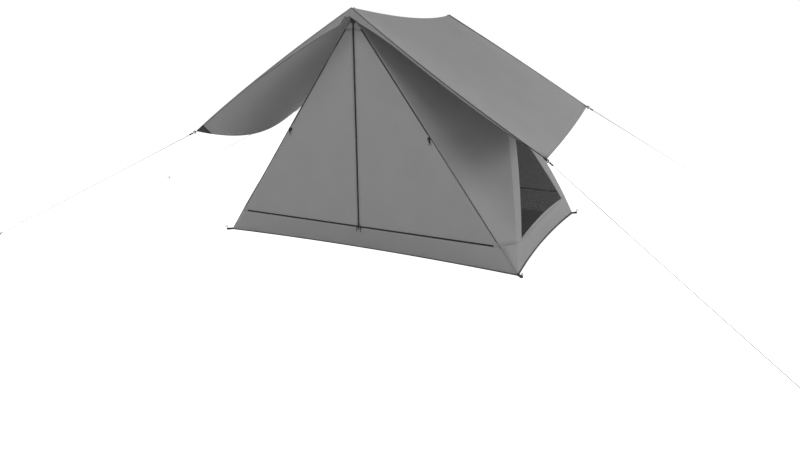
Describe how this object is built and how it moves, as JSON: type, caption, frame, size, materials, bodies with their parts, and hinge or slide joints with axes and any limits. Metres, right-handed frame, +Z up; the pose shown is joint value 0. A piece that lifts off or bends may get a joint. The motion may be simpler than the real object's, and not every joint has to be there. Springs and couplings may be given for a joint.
{
  "type": "ridge tent",
  "caption": "Two-person ridge tent: inner with mesh side windows and T-zipped door walls on upright poles, under a separate fly sheet held out by guylines.",
  "frame": {"origin": "on the ground under the middle of the floor sheet", "axes": "+X along the door wall to the right as seen from the front, -Y out of the front doors, +Z up"},
  "size_m": [5.712, 2.4088, 1.553],
  "materials": {
    "wall_cloth": "matt nylon",
    "fly_cloth": "matt coated nylon",
    "floor_cloth": "coated",
    "netting": "open mesh",
    "zip_tape": "woven tape with a coil",
    "webbing": "woven",
    "steel_wire": "plain",
    "pole_tube": "dark anodised",
    "moulded_black": "moulded",
    "slider_metal": "black enamel",
    "cord": "braided"
  },
  "bodies": {
    "tent": {"floor_sheet": "floor_cloth", "base_band_front": "wall_cloth", "base_zip_front": "zip_tape", "pole_front": "pole_tube", "apex_tab_front": "webbing", "base_band_rear": "wall_cloth", "base_zip_rear": "zip_tape", "pole_rear": "pole_tube", "apex_tab_rear": "webbing", "base_band_left": "wall_cloth", "side_wall_left": "wall_cloth", "window_mesh_left": "netting", "base_band_right": "wall_cloth", "side_wall_right": "wall_cloth", "window_mesh_right": "netting", "fly_sheet": "fly_cloth", "fly_corner_tab_front_left": "webbing", "guyline_front_left": "cord", "corner_peg_front_left": "steel_wire", "guyline_peg_front_left": "steel_wire", "fly_corner_tab_front_right": "webbing", "guyline_front_right": "cord", "corner_peg_front_right": "steel_wire", "guyline_peg_front_right": "steel_wire", "fly_corner_tab_rear_left": "webbing", "guyline_rear_left": "cord", "corner_peg_rear_left": "steel_wire", "guyline_peg_rear_left": "steel_wire", "fly_corner_tab_rear_right": "webbing", "guyline_rear_right": "cord", "corner_peg_rear_right": "steel_wire", "guyline_peg_rear_right": "steel_wire"},
    "door_front_left": {"door_front_left": "wall_cloth", "door_zip_front_left": "zip_tape"},
    "toggle_front_left": {"toggle_front_left": "moulded_black"},
    "tensioner_front_left": {"tensioner_front_left": "moulded_black"},
    "door_front_right": {"door_front_right": "wall_cloth", "door_zip_front_right": "zip_tape"},
    "toggle_front_right": {"toggle_front_right": "moulded_black"},
    "tensioner_front_right": {"tensioner_front_right": "moulded_black"},
    "door_rear_left": {"door_rear_left": "wall_cloth", "door_zip_rear_left": "zip_tape"},
    "toggle_rear_left": {"toggle_rear_left": "moulded_black"},
    "tensioner_rear_left": {"tensioner_rear_left": "moulded_black"},
    "door_rear_right": {"door_rear_right": "wall_cloth", "door_zip_rear_right": "zip_tape"},
    "toggle_rear_right": {"toggle_rear_right": "moulded_black"},
    "tensioner_rear_right": {"tensioner_rear_right": "moulded_black"},
    "slider_front_upright": {"slider_front_upright": "slider_metal"},
    "pull_tab_front_upright": {"pull_tab_front_upright": "moulded_black"},
    "slider_front_left": {"slider_front_left": "slider_metal"},
    "pull_tab_front_left": {"pull_tab_front_left": "moulded_black"},
    "slider_front_right": {"slider_front_right": "slider_metal"},
    "pull_tab_front_right": {"pull_tab_front_right": "moulded_black"},
    "slider_rear_upright": {"slider_rear_upright": "slider_metal"},
    "pull_tab_rear_upright": {"pull_tab_rear_upright": "moulded_black"},
    "slider_rear_left": {"slider_rear_left": "slider_metal"},
    "pull_tab_rear_left": {"pull_tab_rear_left": "moulded_black"},
    "slider_rear_right": {"slider_rear_right": "slider_metal"},
    "pull_tab_rear_right": {"pull_tab_rear_right": "moulded_black"}
  },
  "joints": [
    {"name": "door_front_left_swing", "type": "hinge", "parent": "tent", "child": "door_front_left", "pos_m": [-1.1, -0.75, 0], "axis": [-0.5914, 0, -0.8064], "range_deg": [0, 105]},
    {"name": "toggle_front_left_swing", "type": "hinge", "parent": "door_front_left", "child": "toggle_front_left", "pos_m": [-0.51341, -0.7574, 0.77668], "axis": [0, 1, 0], "range_deg": [-45, 45]},
    {"name": "door_front_right_swing", "type": "hinge", "parent": "tent", "child": "door_front_right", "pos_m": [1.1, -0.75, 0], "axis": [-0.5914, 0, 0.8064], "range_deg": [0, 105]},
    {"name": "toggle_front_right_swing", "type": "hinge", "parent": "door_front_right", "child": "toggle_front_right", "pos_m": [0.51341, -0.7574, 0.77668], "axis": [0, 1, 0], "range_deg": [-45, 45]},
    {"name": "door_rear_left_swing", "type": "hinge", "parent": "tent", "child": "door_rear_left", "pos_m": [-1.1, 0.75, 0], "axis": [0.5914, 0, 0.8064], "range_deg": [0, 105]},
    {"name": "toggle_rear_left_swing", "type": "hinge", "parent": "door_rear_left", "child": "toggle_rear_left", "pos_m": [-0.51341, 0.7574, 0.77668], "axis": [0, 1, 0], "range_deg": [-45, 45]},
    {"name": "door_rear_right_swing", "type": "hinge", "parent": "tent", "child": "door_rear_right", "pos_m": [1.1, 0.75, 0], "axis": [0.5914, 0, -0.8064], "range_deg": [0, 105]},
    {"name": "toggle_rear_right_swing", "type": "hinge", "parent": "door_rear_right", "child": "toggle_rear_right", "pos_m": [0.51341, 0.7574, 0.77668], "axis": [0, 1, 0], "range_deg": [-45, 45]},
    {"name": "tensioner_front_left_slide", "type": "slide", "parent": "tent", "child": "tensioner_front_left", "axis": [-0.779, -0.4424, -0.4445], "range_m": [-0.004, 0.2]},
    {"name": "tensioner_front_right_slide", "type": "slide", "parent": "tent", "child": "tensioner_front_right", "axis": [0.7788, -0.4429, -0.4441], "range_m": [-0.004, 0.2]},
    {"name": "tensioner_rear_left_slide", "type": "slide", "parent": "tent", "child": "tensioner_rear_left", "axis": [-0.8741, -0.1873, -0.4482], "range_m": [-0.004, 0.2]},
    {"name": "tensioner_rear_right_slide", "type": "slide", "parent": "tent", "child": "tensioner_rear_right", "axis": [0.8741, -0.1873, -0.4482], "range_m": [-0.004, 0.2]},
    {"name": "slider_front_upright_slide", "type": "slide", "parent": "door_front_right", "child": "slider_front_upright", "axis": [0, 0, 1], "range_m": [0, 1.175]},
    {"name": "pull_tab_front_upright_swing", "type": "hinge", "parent": "slider_front_upright", "child": "pull_tab_front_upright", "pos_m": [0, -0.75616, 0.1828], "axis": [-1, 0, 0], "range_deg": [0, 135]},
    {"name": "slider_front_left_slide", "type": "slide", "parent": "tent", "child": "slider_front_left", "axis": [-1, 0, 0], "range_m": [0, 0.915]},
    {"name": "pull_tab_front_left_swing", "type": "hinge", "parent": "slider_front_left", "child": "pull_tab_front_left", "pos_m": [-0.0135, -0.75616, 0.165], "axis": [-1, 0, 0], "range_deg": [0, 135]},
    {"name": "slider_front_right_slide", "type": "slide", "parent": "tent", "child": "slider_front_right", "axis": [1, 0, 0], "range_m": [0, 0.915]},
    {"name": "pull_tab_front_right_swing", "type": "hinge", "parent": "slider_front_right", "child": "pull_tab_front_right", "pos_m": [0.0135, -0.75616, 0.165], "axis": [-1, 0, 0], "range_deg": [0, 135]},
    {"name": "slider_rear_upright_slide", "type": "slide", "parent": "door_rear_left", "child": "slider_rear_upright", "axis": [0, 0, 1], "range_m": [0, 1.175]},
    {"name": "pull_tab_rear_upright_swing", "type": "hinge", "parent": "slider_rear_upright", "child": "pull_tab_rear_upright", "pos_m": [0, 0.75616, 0.1828], "axis": [1, 0, 0], "range_deg": [0, 135]},
    {"name": "slider_rear_left_slide", "type": "slide", "parent": "tent", "child": "slider_rear_left", "axis": [-1, 0, 0], "range_m": [0, 0.915]},
    {"name": "pull_tab_rear_left_swing", "type": "hinge", "parent": "slider_rear_left", "child": "pull_tab_rear_left", "pos_m": [-0.0135, 0.75616, 0.165], "axis": [1, 0, 0], "range_deg": [0, 135]},
    {"name": "slider_rear_right_slide", "type": "slide", "parent": "tent", "child": "slider_rear_right", "axis": [1, 0, 0], "range_m": [0, 0.915]},
    {"name": "pull_tab_rear_right_swing", "type": "hinge", "parent": "slider_rear_right", "child": "pull_tab_rear_right", "pos_m": [0.0135, 0.75616, 0.165], "axis": [1, 0, 0], "range_deg": [0, 135]}
  ]
}
